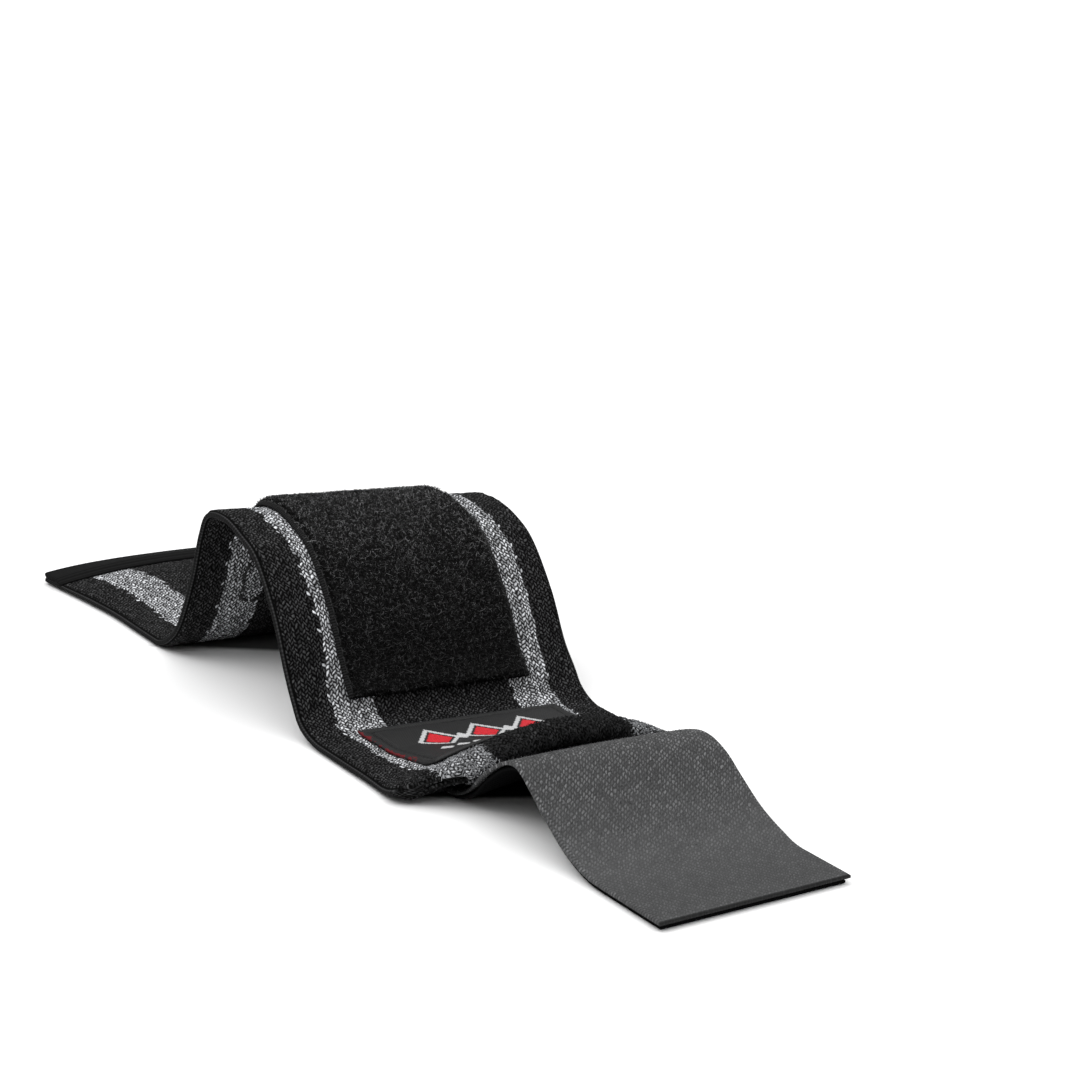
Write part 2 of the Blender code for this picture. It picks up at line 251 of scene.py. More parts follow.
class LayLine:
    """The middle layer of a cloth as it lies. place() maps lengths on the cloth to space."""

    def __init__(self, rows, rise, thick, half_width):
        self.half_width = half_width
        count = SAMPLES_PER_ROW * (len(rows) - 1)
        table = np.array([catmull_rom(rows, k / SAMPLES_PER_ROW) for k in range(count + 1)])
        x = table[:, 0] * LAY_LENGTH
        near = np.maximum(table[:, 1], 0) * rise + thick / 2
        far = np.maximum(table[:, 2], 0) * rise + thick / 2
        lift = np.maximum(table[:, 3], 0) * rise
        self.columns = (x, near, far, lift, table[:, 4] * STRAP_WIDTH, table[:, 5] * STRAP_WIDTH)
        steps = np.hypot(np.diff(x), np.diff((near + far) / 2 + lift))
        self.lengths = np.concatenate(([0.0], np.cumsum(steps)))
        self.length = float(self.lengths[-1])

    def column(self, k, s):
        """Column k at s, carried on in a straight line past both ends."""
        values, lengths = self.columns[k], self.lengths
        start = (values[1] - values[0]) / (lengths[1] - lengths[0])
        end = (values[-1] - values[-2]) / (lengths[-1] - lengths[-2])
        inside = np.interp(s, lengths, values)
        return inside + np.minimum(s, 0) * start + np.maximum(s - lengths[-1], 0) * end

    def base(self, s, v):
        x, near, far, lift, lag, sway = (self.column(k, s) for k in range(6))
        side = v / self.half_width(s)
        across = 0.5 * (1 + side)
        z = near + (far - near) * across + lift * (1 - side * side)
        return np.stack((x + lag * across, v + sway, z), axis=-1) + LAY_START

    def place(self, s, v, off):
        s, v, off = np.broadcast_arrays(s, v, off)
        ahead = self.base(s + NORMAL_STEP, v) - self.base(s - NORMAL_STEP, v)
        across = self.base(s, v + NORMAL_STEP) - self.base(s, v - NORMAL_STEP)
        normal = np.cross(ahead, across)
        normal /= np.linalg.norm(normal, axis=-1, keepdims=True)
        return self.base(s, v) + normal * off[..., None]


def strap_half_width(s):
    into_taper = (s - (STRAP_END - TAPER_LENGTH)) / TAPER_LENGTH
    share = np.clip(into_taper, 0, 1)
    short = np.clip(HEM_CORNER - s, 0, HEM_CORNER)
    corner = HEM_CORNER - np.sqrt(HEM_CORNER ** 2 - short ** 2)
    return (STRAP_WIDTH - share * (STRAP_WIDTH - END_WIDTH)) / 2 - corner


TURN = (STRAP_THICK + GAP) / 2
STRAP_END = LayLine(STRAP_FOLDS, WAVE_RISE, STRAP_THICK, lambda s: STRAP_WIDTH / 2).length
TAB_THICK = HOOK_THICK + GAP + BACKING_THICK
ON_STRAP = STRAP_THICK / 2 + GAP
LABEL_FRONT = STRAP_END - LABEL_SETBACK
LABEL_REAR = LABEL_FRONT - LABEL_LENGTH
PANEL_FRONT = LABEL_REAR - PANEL_LABEL_GAP
PANEL_REAR = PANEL_FRONT - PANEL_LENGTH


def smoothstep(low, high, x):
    t = np.clip((x - low) / (high - low), 0, 1)
    return t * t * (3 - 2 * t)


def value_noise(x, y, seed):
    """Smooth random heights from 0 to 1 on a unit grid."""
    grid = np.random.default_rng(seed).random((256, 256))
    i, j = np.floor(x).astype(int), np.floor(y).astype(int)
    fx, fy = x - i, y - j
    fx, fy = fx * fx * (3 - 2 * fx), fy * fy * (3 - 2 * fy)

    def at(a, b):
        return grid[a % 256, b % 256]

    low = at(i, j) * (1 - fx) + at(i + 1, j) * fx
    high = at(i, j + 1) * (1 - fx) + at(i + 1, j + 1) * fx
    return low * (1 - fy) + high * fy


# Meshes

def mesh_piece(name, points, faces, cloth, material):
    """An object with smooth faces; cloth is its layout, in metres, written in millimetres."""
    mesh = bpy.data.meshes.new(name)
    mesh.from_pydata(points.reshape(-1, 3).tolist(), [], faces)
    bm = bmesh.new()
    bm.from_mesh(mesh)
    bmesh.ops.recalc_face_normals(bm, faces=bm.faces)
    bm.to_mesh(mesh)
    bm.free()
    layout = mesh.attributes.new("cloth", "FLOAT_VECTOR", "POINT")
    layout.data.foreach_set("vector", (cloth.reshape(-1, 3) / MM).astype(np.float32).ravel())
    mesh.shade_smooth()
    mesh.materials.append(material)
    obj = bpy.data.objects.new(name, mesh)
    bpy.context.collection.objects.link(obj)
    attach(obj, "root")
    return obj


def ring_faces(count, size):
    """Quads round rings of points, closed at both ends by quads from the upper to the lower half."""
    faces = []
    for i in range(count - 1):
        for k in range(size):
            n = (k + 1) % size
            faces.append((i * size + k, (i + 1) * size + k, (i + 1) * size + n, i * size + n))
    for start in (0, (count - 1) * size):
        for k in range(size // 2 - 1):
            faces.append((start + k, start + k + 1, start + size - 2 - k, start + size - 1 - k))
    return faces


def ring_piece(name, points, cloth, material):
    faces = ring_faces(points.shape[0], points.shape[1])
    return mesh_piece(name, points, faces, cloth, material)


def tube_faces(count, rings, sides):
    """Quads along tubes, with a face at both ends of each."""
    faces = []
    for i in range(count):
        start = i * rings * sides
        for a in range(start, start + (rings - 1) * sides, sides):
            for c in range(sides):
                n = (c + 1) % sides
                faces.append((a + c, a + n, a + sides + n, a + sides + c))
        faces.append(tuple(range(start, start + sides)))
        faces.append(tuple(reversed(range(start + (rings - 1) * sides, start + rings * sides))))
    return faces


def strap_stations():
    """Lengths on the cloth from the hem's free edge to the end of the cloth turned under."""
    arc = math.pi * TURN
    first = TURN - arc - (HEM_LENGTH - TURN)
    end = STRAP_END - TURN + arc + (END_FOLD - TURN)
    inside = np.arange(math.ceil(first / MESH_STEP), math.floor(end / MESH_STEP) + 1) * MESH_STEP
    return np.concatenate(([first], inside, [end]))


def strap_course(u):
    """Place along the lay, height off it and heading of the strap's middle layer at lengths on the cloth."""
    arc = math.pi * TURN
    last = STRAP_END - TURN
    hem_angle = np.clip((TURN - u) / TURN, 0, math.pi)
    end_angle = np.clip((u - last) / TURN, 0, math.pi)
    s = np.clip(u, TURN, last)
    s = s - TURN * np.sin(hem_angle) + TURN * np.sin(end_angle)
    s = s + np.maximum(TURN - arc - u, 0) - np.maximum(u - last - arc, 0)
    off = TURN * (1 - np.cos(hem_angle)) - TURN * (1 - np.cos(end_angle))
    return s, off, -(hem_angle + end_angle)


def knit_layout(u, v):
    """A place in the knit's rows and columns, which wander a little over the cloth."""
    calm = smoothstep(0, 3 * MM, u)
    sway_u = value_noise(u / (2.3 * MM) + 60, v / (2.3 * MM) + 60, 21) - 0.5
    sway_v = value_noise(u / (1.9 * MM) + 60, v / (1.9 * MM) + 60, 22) - 0.5
    beside_panel = smoothstep(PANEL_FRONT - 62 * MM, PANEL_FRONT - 25 * MM, u)
    beside_panel = beside_panel * smoothstep(PANEL_FRONT + 6 * MM, PANEL_FRONT - 14 * MM, u)
    drift = WEAVE_DRIFT * beside_panel
    return u + KNIT_SWAY * sway_u * calm, v - drift + KNIT_SWAY * sway_v * calm


def pinch(s, side):
    """Share of the thickness that the end seams leave at a place on the strap."""
    near_end = np.clip(1 - (STRAP_END - s) / PINCH_LENGTH, 0, 1)
    near_hem = np.clip(1 - (s - HEM_LENGTH) / PINCH_LENGTH, 0, 1)
    corner = side ** 4
    at_end = 1 - (1 - END_PINCH) * corner
    at_hem = HEM_PINCH + (HEM_CORNER_PINCH - HEM_PINCH) * corner
    return 1 - (1 - at_end) * near_end - (1 - at_hem) * near_hem


def make_strap(lay, material):
    u = strap_stations()[:, None]
    s, off, heading = strap_course(u)
    half = strap_half_width(s)
    inner = np.linspace(-1, 1, MESH_COLUMNS) * (half - (STRAP_WIDTH / 2 - KNIT_HALF))
    insets = np.array([p[0] for p in EDGE_PROFILE]) * MM
    edge = half - insets
    v = np.concatenate((-edge, inner, edge[:, ::-1]), axis=1)
    folded = smoothstep(0, 2 * MM, s - (STRAP_END - TAPER_LENGTH))
    full = np.maximum(folded, smoothstep(0, 1.5 * MM, HEM_LENGTH + 1 * MM - s))
    rim = np.array([p[1] for p in EDGE_PROFILE]) * (1 - full) + np.array(FOLD_PROFILE) * full
    shape = np.concatenate((rim, np.ones(inner.shape), rim[:, ::-1]), axis=1)
    on_knit = np.concatenate((np.zeros(len(insets)), np.ones(inner.shape[1]), np.zeros(len(insets))))
    knit_u, knit_v = knit_layout(u, v)
    bumps = value_noise(knit_u / (0.9 * MM), knit_v / (0.8 * MM), 23) - 0.5
    relief = KNIT_RELIEF * bumps * on_knit * (u > 0)
    reach = STRAP_THICK / 2 * shape + relief
    tucked = STRAP_WIDTH / 2 - half
    flap_end = STRAP_END - END_FOLD - GAP
    is_flap = (np.abs(heading) < 1e-6) & (s > STRAP_END - TAPER_LENGTH) & (s < flap_end)
    doubled = STRAP_THICK * is_flap * smoothstep(0, 2.5 * MM, np.abs(v) - (half - tucked))
    upper, lower = reach, -(reach + doubled)
    squeeze = pinch(s, v / half)
    loose_edge = smoothstep(0, 3.0 * MM, u - u[0])
    thinned = HEM_SEAM_SHARE + (1 - HEM_SEAM_SHARE) * loose_edge
    off = off - (1 - thinned) * STRAP_THICK / 2 - GAP * (1 - loose_edge)

    def layer(reach):
        lift = (off + reach * thinned * np.cos(heading)) * squeeze
        return lay.place(s - reach * np.sin(heading), v, lift)

    points = np.concatenate((layer(upper), layer(lower)[:, ::-1]), axis=1)
    inset = half - np.abs(v)
    woven = np.clip(1 - inset / (STRAP_WIDTH / 2 - KNIT_HALF), 0, 1) * (1 - folded) * MM
    round_fold = folded * (STRAP_THICK + doubled) * (1 - smoothstep(0, 6 * MM, inset)) * np.sign(v)
    turned = np.clip((u - (STRAP_END - TURN)) / TURN, 0, math.pi)
    bent = STRAP_THICK / 2 * turned

    # The layout's third value runs from 0 on the knit to 1 mm at the rim of the woven edge. It is below
    # zero where the cloth is folded under, and the stripes don't show there.
    above = np.stack((knit_u + bent, knit_v, np.where(turned > math.pi * 0.6, -MM, woven)), axis=-1)
    below = np.stack((knit_u - bent, knit_v + round_fold, np.where(folded > 0, -MM, woven)), axis=-1)
    cloth = np.concatenate((above, below[:, ::-1]), axis=1)
    return ring_piece("knit_strap", points, cloth, material)


def patch_points(lay, start, end, width, step, profile, top, bottom):
    """Rings for a flat piece on the cloth. profile gives how far in from its edge each rim row lies."""
    rim = np.array(profile)
    along = np.arange(start + rim[-1] + step, end - rim[-1], step)
    s = np.concatenate((start + rim, along, (end - rim)[::-1]))[:, None]
    half = width / 2
    inner = np.linspace(-half + rim[-1], half - rim[-1], max(2, round((width - 2 * rim[-1]) / step)))
    v = np.concatenate((-half + rim[:-1], inner, (half - rim[:-1])[::-1]))[None, :]
    inset = np.minimum(np.minimum(s - start, end - s), half - np.abs(v))
    s, v = np.broadcast_arrays(s, v)
    upper = lay.place(s, v, top(s, v, inset))
    lower = lay.place(s, v, bottom(s, v, inset))
    points = np.concatenate((upper, lower[:, ::-1]), axis=1)
    middle = (start + end) / 2
    flat = np.stack((s - middle, v, inset), axis=-1)
    cloth = np.concatenate((flat, flat[:, ::-1]), axis=1)
    return points, cloth


def panel_top(s, v, inset):
    """Height of the loop panel's pile and of its thin woven edges."""
    beside = PANEL_WIDTH / 2 - np.abs(v)
    at_end = np.minimum(s - PANEL_REAR, PANEL_FRONT - s)
    body = smoothstep(PANEL_EDGE - 0.3 * MM, PANEL_EDGE + 0.9 * MM, beside)
    body = body * smoothstep(-0.2 * MM, 0.5 * MM, at_end)
    rim = PANEL_EDGE_THICK * (0.25 + 0.65 * smoothstep(0, 0.4 * MM, inset))
    tufts = value_noise(s / (0.9 * MM), v / (0.9 * MM), 3) - 0.5
    clumps = value_noise(s / (3.5 * MM), v / (3.5 * MM), 4) - 0.5
    pile = PANEL_THICK - 0.22 * MM + 0.16 * MM * tufts + 0.18 * MM * clumps
    return ON_STRAP + rim + (pile - rim) * body


def on_strap(s, v, inset):
    """Height of the underside of a piece that is sewn on the strap."""
    return ON_STRAP + 0 * s


def make_panel(lay, material):
    profile = (0.0, 0.2 * MM, 0.5 * MM, 1.0 * MM, 1.4 * MM, 1.9 * MM)
    points, cloth = patch_points(lay, PANEL_REAR, PANEL_FRONT, PANEL_WIDTH, 0.6 * MM, profile,
                                 panel_top, on_strap)
    return ring_piece("pile_panel", points, cloth, material)


def make_strands(name, place, rng, s, v, length, peak, base, thick, marks, material):
    """Curled fibres that start at (s, v) on the cloth and rise by peak over their base.

    marks is a value for each fibre that its material reads, beside a random one.
    """
    count, parts = len(s), 2
    t = np.linspace(0, 1, parts + 1)[None, :]
    heading = rng.uniform(0, 2 * math.pi, (count, 1)) + rng.normal(0, 0.8, (count, 1)) * t
    step_s = np.cos(heading) * length / parts
    step_v = np.sin(heading) * length / parts
    place_s = s + np.cumsum(step_s, axis=1) - step_s
    place_v = v + np.cumsum(step_v, axis=1) - step_v
    rise = base + peak * np.sin(math.pi * t)
    width = thick * (1 - 0.5 * t)
    side_s = -np.sin(heading) * width
    side_v = np.cos(heading) * width
    tilt = rng.uniform(-0.8, 0.8, (count, 1)) * thick
    left = place(place_s + side_s, place_v + side_v, rise + tilt)
    right = place(place_s - side_s, place_v - side_v, rise - tilt)
    points = np.stack((left, right), axis=2)
    faces = []
    for i in range(count):
        start = i * (parts + 1) * 2
        for k in range(parts):
            a = start + 2 * k
            faces.append((a, a + 1, a + 3, a + 2))
    shade = np.broadcast_to(rng.random(count)[:, None, None], points.shape[:3])
    cloth = np.stack((shade, shade * 0 + marks[:, :, None], shade * 0), axis=-1) * MM
    return mesh_piece(name, points, faces, cloth, material)


def make_fibres(lay, material):
    """The loop panel's pile."""
    rng = np.random.default_rng(11)
    size = (FIBRES, 1)
    half = PANEL_WIDTH / 2 - PANEL_EDGE + 0.3 * MM
    s = rng.uniform(PANEL_REAR + 0.2 * MM, PANEL_FRONT - 0.1 * MM, size)
    v = rng.uniform(-half, half, size)
    long = rng.random(size) < LONG_FIBRES
    length = (0.5 * MM + 0.9 * MM * rng.random(size) ** 2) * (1 + 1.6 * long)
    peak = rng.uniform(*FIBRE_RISE, size) * (1 + 0.3 * long)
    base = panel_top(s, v, PANEL_WIDTH / 2 - np.abs(v)) - 0.08 * MM
    # How far along the panel each fibre stands; the fibre material paints light and shade with it
    share = (s - PANEL_REAR) / PANEL_LENGTH
    return make_strands("pile_fibres", lay.place, rng, s, v, length, peak, base, FIBRE_THICK, share,
                        material)


def make_fuzz(lay, material):
    """Loose yarn on the knit round the tapered end."""
    rng = np.random.default_rng(17)
    size = (LOOSE_YARNS, 1)
    u = STRAP_END + 4 * MM - 15 * MM * rng.random(size) ** 1.4
    half = strap_half_width(strap_course(u)[0])
    v = rng.uniform(-1, 1, size) * half
    pale = (np.abs(v) > STRIPE_NEAR) & (np.abs(v) < STRIPE_FAR)
    length = rng.uniform(*YARN_LENGTH, size)
    peak = rng.uniform(*YARN_RISE, size)

    def place(u, v, reach):
        s, off, heading = strap_course(u)
        lift = (off + reach * np.cos(heading)) * pinch(s, np.clip(v / strap_half_width(s), -1, 1))
        return lay.place(s - reach * np.sin(heading), v, lift)

    return make_strands("knit_fuzz", place, rng, u, v, length, peak, STRAP_THICK / 2, YARN_THICK, pale * 1.0,
                        material)


def make_label(lay, material):
    def top(s, v, inset):
        edge = smoothstep(-0.1 * MM, 0.6 * MM, inset)
        seam = np.exp(-((inset - LABEL_SEAM) / (0.45 * MM)) ** 2)
        along = np.where(np.abs(v) > LABEL_WIDTH / 2 - 3 * MM, s, v)
        pucker = np.cos(2 * math.pi * along / STITCH_PITCH)
        pucker = pucker * np.exp(-((inset - LABEL_SEAM) / (1.2 * MM)) ** 2)
        wave = value_noise(s / (9 * MM), v / (9 * MM), 8) - 0.5
        thick = LABEL_THICK * (0.45 + 0.40 * edge) - 0.28 * MM * seam + 0.05 * MM * pucker
        return ON_STRAP + thick + 0.16 * MM * wave * edge

    profile = (0.0, 0.12 * MM, 0.35 * MM, 0.7 * MM)
    points, cloth = patch_points(lay, LABEL_REAR, LABEL_FRONT, LABEL_WIDTH, 0.45 * MM, profile,
                                 top, on_strap)
    return ring_piece("woven_label", points, cloth, material)


def make_tape(lay, material):
    under = TAB_THICK / 2 - HOOK_THICK

    def top(s, v, inset):
        edge = smoothstep(-0.1 * MM, 0.35 * MM, inset)
        rib = np.cos(2 * math.pi * s / (0.9 * MM)) * (inset < TAPE_SELVEDGE)
        return under + HOOK_THICK * (0.45 + 0.37 * edge) + 0.02 * MM * rib

    def bottom(s, v, inset):
        return under + 0 * s

    profile = (0.0, 0.12 * MM, 0.35 * MM)
    points, cloth = patch_points(lay, 0.0, lay.length, TAB_WIDTH, 0.5 * MM, profile, top, bottom)
    return ring_piece("hook_band", points, cloth, material)


def make_hooks(lay, material):
    """Small bent hooks in staggered rows on the tape."""
    rng = np.random.default_rng(5)
    middle = lay.length / 2
    number, step = np.meshgrid(np.arange(-80, 81), np.arange(-80, 81))
    s = (step - number / 2) * HOOK_STEP
    v = number * HOOK_ROW - HOOK_SLANT * s
    kept = (np.abs(v) < TAB_WIDTH / 2 - TAPE_SELVEDGE) & (s > COVERED - middle) & (s < middle - 1.2 * MM)
    s = (middle + s[kept] + rng.normal(0, 0.22 * MM, kept.sum()))[:, None]
    v = (v[kept] + rng.normal(0, 0.11 * MM, kept.sum()))[:, None]
    t = np.linspace(0, 1, 5)[None, :]
    lean = rng.normal(0, 0.16 * MM, s.shape)
    surface = TAB_THICK / 2 - HOOK_THICK * 0.18
    worn = 1 - 0.6 * smoothstep(0.35 * lay.length, 0.75 * lay.length, s)
    tall = (HOOK_HEIGHT + rng.normal(0, 0.07 * MM, s.shape)) * worn
    height = surface - 0.06 * MM + tall * np.sin(math.pi * t * 0.85)
    reach = rng.uniform(*HOOK_REACH, s.shape)
    place_s = s + (t - 0.5) * reach
    place_v = v + (t - 0.5) * (lean - HOOK_SLANT * reach)
    corners = []
    for angle in (math.pi / 2, math.pi * 7 / 6, math.pi * 11 / 6):
        aside, up = HOOK_THREAD * math.cos(angle), HOOK_THREAD * math.sin(angle)
        corners.append(lay.place(place_s, place_v + aside, height + up))
    points = np.stack(corners, axis=2)
    faces = tube_faces(*points.shape[:3])
    shade = np.broadcast_to(rng.random(len(s))[:, None, None], points.shape[:3])
    cloth = np.stack((shade * MM, shade * 0, shade * 0), axis=-1)
    return mesh_piece("tape_hooks", points, faces, cloth, material)


def make_backing(lay, material):
    under = -TAB_THICK / 2

    def top(s, v, inset):
        return under + BACKING_THICK * (0.55 + 0.45 * smoothstep(-0.1 * MM, 0.4 * MM, inset))

    def bottom(s, v, inset):
        return under + BACKING_THICK * 0.2 * (1 - smoothstep(-0.1 * MM, 0.3 * MM, inset))

    profile = (0.0, 0.12 * MM, 0.4 * MM)
    end = lay.length - BACKING_INSET
    width = TAB_WIDTH - 2 * BACKING_INSET
    points, cloth = patch_points(lay, 0.0, end, width, 0.8 * MM, profile, top, bottom)
    return ring_piece("backing_band", points, cloth, material)


def seam_stitches(start, end, half, inset):
    """Stitches round a rectangle on the cloth, each from one place (s, v) to another."""
    start, end, half = start + inset, end - inset, half - inset
    corners = [(start, -half), (end, -half), (end, half), (start, half), (start, -half)]
    pairs = []
    for first, last in zip(corners, corners[1:]):
        run = np.subtract(last, first)
        count = max(1, round(np.hypot(*run) / STITCH_PITCH))
        for k in range(count):
            pairs.append((first + run * (k + 0.10) / count, first + run * (k + 0.90) / count))
    return np.array(pairs)


def make_stitches(name, lay, pairs, off, direction, thick, material):
    """Short threads that dip into the cloth at both ends. direction is 1 on the top face, -1 below."""
    t = np.linspace(0, 1, 6)[None, :]
    s = pairs[:, 0, 0][:, None] * (1 - t) + pairs[:, 1, 0][:, None] * t
    v = pairs[:, 0, 1][:, None] * (1 - t) + pairs[:, 1, 1][:, None] * t
    run = pairs[:, 1] - pairs[:, 0]
    run /= np.linalg.norm(run, axis=1, keepdims=True)
    arch = off + direction * thick * (np.sin(math.pi * t) ** 0.5 * 1.2 - 0.8)
    corners = []
    sides = 6
    for angle in np.arange(sides) * 2 * math.pi / sides:
        aside = thick * math.cos(angle)
        up = thick * math.sin(angle)
        corners.append(lay.place(s - run[:, 1][:, None] * aside, v + run[:, 0][:, None] * aside, arch + up))
    points = np.stack(corners, axis=2)
    return mesh_piece(name, points, tube_faces(*points.shape[:3]), np.zeros(points.shape), material)


# Materials

class Shade:
    """A material's node tree, built one node at a time."""

    def __init__(self, name, roughness, specular):
        self.material = bpy.data.materials.new(name)
        self.material.use_nodes = True
        self.tree = self.material.node_tree
        self.shader = self.tree.nodes["Principled BSDF"]
        self.shader.inputs["Roughness"].default_value = roughness
        self.shader.inputs["Specular IOR Level"].default_value = specular

    def node(self, kind, inputs=(), **settings):
        made = self.tree.nodes.new(kind)
        for key, value in settings.items():
            setattr(made, key, value)
        for key, value in dict(inputs).items():
            self.feed(made.inputs[key], value)
        return made

    def feed(self, socket, value):
        if isinstance(value, bpy.types.NodeSocket):
            self.tree.links.new(value, socket)
        else:
            socket.default_value = value

    def layout(self):
        """The piece's own layout in millimetres, as three sockets."""
        made = self.node("ShaderNodeAttribute", attribute_name="cloth")
        self.place = made.outputs["Vector"]
        split = self.node("ShaderNodeSeparateXYZ", {"Vector": self.place})
        return split.outputs

    def math(self, operation, a, b=0.0, c=0.0):
        made = self.node("ShaderNodeMath", {0: a, 1: b, 2: c}, operation=operation)
        return made.outputs[0]

    def ramp(self, value, low, high, start=0.0, end=1.0):
        """From start to end, smoothly, as the value goes from low to high."""
        ends = {"From Min": low, "From Max": high, "To Min": start, "To Max": end}
        made = self.node("ShaderNodeMapRange", {"Value": value, **ends}, interpolation_type="SMOOTHSTEP")
        return made.outputs["Result"]

    def wave(self, value, period):
        """A cosine of the value, from -1 to 1."""
        return self.math("COSINE", self.math("MULTIPLY", value, 2 * math.pi / period))

    def vary(self, tone, value, amount, base):
        """The tone times amount * value + base."""
        return self.math("MULTIPLY", tone, self.math("MULTIPLY_ADD", value, amount, base))

    def apart(self, a, b):
        """How far the two values lie from each other."""
        return self.math("ABSOLUTE", self.math("SUBTRACT", a, b))

    def lozenge(self, aside, ahead, half):
        """1 on the edge of a lozenge, 0 in its middle."""
        return self.math("ADD", self.math("DIVIDE", aside, half[0]), self.math("DIVIDE", ahead, half[1]))

    def dome(self, aside, ahead):
        """Height of a round dome over the unit circle, 0 outside it."""
        square = self.math("MULTIPLY_ADD", aside, aside, self.math("MULTIPLY", ahead, ahead))
        return self.math("SQRT", self.math("MAXIMUM", self.math("SUBTRACT", 1.0, square), 0.0))

    def vector(self, x, y, z=0.0):
        return self.node("ShaderNodeCombineXYZ", {"X": x, "Y": y, "Z": z}).outputs[0]

    def noise(self, where, scale, detail=2.0):
        made = self.node("ShaderNodeTexNoise", {"Vector": where, "Scale": scale, "Detail": detail})
        return made.outputs[0]

    def cell(self, where):
        return self.node("ShaderNodeTexWhiteNoise", {"Vector": where}, noise_dimensions="3D").outputs["Value"]

    def mix(self, share, a, b):
        made = self.node("ShaderNodeMix", data_type="RGBA")
        self.feed(made.inputs[0], share)
        self.feed(made.inputs[6], a)
        self.feed(made.inputs[7], b)
        return made.outputs[2]

    def scale(self, colour, share):
        """The colour times a value."""
        made = self.node("ShaderNodeMix", data_type="RGBA", blend_type="MULTIPLY")
        made.inputs[0].default_value = 1.0
        self.feed(made.inputs[6], colour)
        self.tree.links.new(share, made.inputs[7])
        return made.outputs[2]

    def colour(self, value):
        self.feed(self.shader.inputs["Base Color"], value)

    def bump(self, height):
        """height is in millimetres."""
        made = self.node("ShaderNodeBump", {"Height": height, "Strength": 1.0, "Distance": MM})
        self.tree.links.new(made.outputs["Normal"], self.shader.inputs["Normal"])


def grey(value, tint=1.0):
    """A grey of that linear brightness; tint makes it a little bluer."""
    return (value, value * (1 + tint * 0.01), value * (1 + tint * 0.03), 1.0)


def knit_material():
    m = Shade("elastic_knit", roughness=0.85, specular=0.06)
    u, v, woven = m.layout()
    wale = m.math("DIVIDE", v, WALE / MM)
    column = m.math("FLOOR", wale)
    odd = m.math("FLOORED_MODULO", column, 2.0)
    course = m.math("MULTIPLY_ADD", odd, 0.5, m.math("DIVIDE", u, COURSE / MM))
    row = m.math("FLOOR", course)
    along = m.math("SUBTRACT", m.math("SUBTRACT", course, row), 0.5)
    chance = m.cell(m.vector(column, row))
    other = m.cell(m.vector(column, row, 7.0))
    lean = m.math("MULTIPLY", m.math("SUBTRACT", 1.0, m.math("MULTIPLY", odd, 2.0)), STITCH_LEAN)
    across = m.math("SUBTRACT", m.math("SUBTRACT", wale, column), 0.5)
    across = m.math("SUBTRACT", across, m.math("MULTIPLY", along, lean))
    across = m.math("ADD", across, m.math("MULTIPLY", m.math("SUBTRACT", other, 0.5), 0.30))
    across = m.math("ADD", across, m.math("MULTIPLY_ADD", m.noise(m.place, 1.3, 1.0), 0.9, -0.45))
    size = m.math("MULTIPLY_ADD", m.cell(m.vector(column, row, 3.0)), 0.40, 0.75)
    wide = m.math("DIVIDE", across, m.math("MULTIPLY", size, STITCH_HALF_WIDTH))
    height = m.dome(wide, m.math("DIVIDE", along, STITCH_HALF_LENGTH))

    # The stripes' boundaries step in and out by whole stitches, and the cloth folded under is black.
    wander = m.math("MULTIPLY", m.math("SUBTRACT", chance, 0.5), 0.9)
    middle = m.math("MULTIPLY", m.math("ADD", column, 0.5), WALE / MM)
    away = m.math("ADD", m.math("ABSOLUTE", middle), wander)
    inside = m.math("MULTIPLY", m.math("GREATER_THAN", away, STRIPE_NEAR / MM),
                    m.math("LESS_THAN", away, STRIPE_FAR / MM))
    hem = m.ramp(u, 0.6, 0.2)
    plain = m.math("MAXIMUM", m.ramp(woven, 0.02, 0.14), hem)
    shown = m.math("GREATER_THAN", woven, -0.5)
    stripe = m.math("MULTIPLY", m.math("MULTIPLY", inside, shown), m.math("SUBTRACT", 1.0, plain))
    uneven = m.noise(m.place, 0.9)
    tone = m.math("MULTIPLY_ADD", other, 1.2, 0.4)
    tone = m.vary(tone, uneven, 0.7, 0.65)
    tone = m.math("MULTIPLY", tone, m.ramp(u, STRAP_END / MM - 9, STRAP_END / MM - 3, 1.0, 0.65))
    tone = m.vary(tone, m.noise(m.place, 3.5, 3.0), 1.0, 0.5)
    # Painted shade between the stitches and a painted highlight on their tops, from the stitch height
    painted_stitch_shading = m.math("POWER", height, 1.8)
    black = m.mix(painted_stitch_shading, grey(KNIT_BLACK[0]), grey(KNIT_BLACK[1]))
    pale = m.mix(painted_stitch_shading, grey(KNIT_PALE[0]), grey(KNIT_PALE[1], 2.0))

    # The woven edge, with a light line along it, and the hem
    edging = m.ramp(m.wave(u, 0.9), -1.0, 1.0, 0.010, 0.026)
    line = m.ramp(m.apart(woven, 0.66), 0.20, 0.06)
    piping = m.vary(m.ramp(woven, 0.22, 0.44, 0.08, 1.0), line, 1.5, 0.55)
    band = m.math("MULTIPLY", m.math("SUBTRACT", 1.0, hem), piping)
    band = m.math("MULTIPLY_ADD", hem, KNIT_HEM, band)
    smooth = m.vary(m.math("MULTIPLY", edging, band), uneven, 0.5, 0.6)
    knit = m.scale(m.mix(stripe, black, pale), tone)
    m.colour(m.mix(plain, knit, m.scale(grey(1.0), smooth)))
    m.bump(m.math("MULTIPLY", m.math("MULTIPLY", height, m.math("SUBTRACT", 1.0, plain)), 0.28))
    return m.material


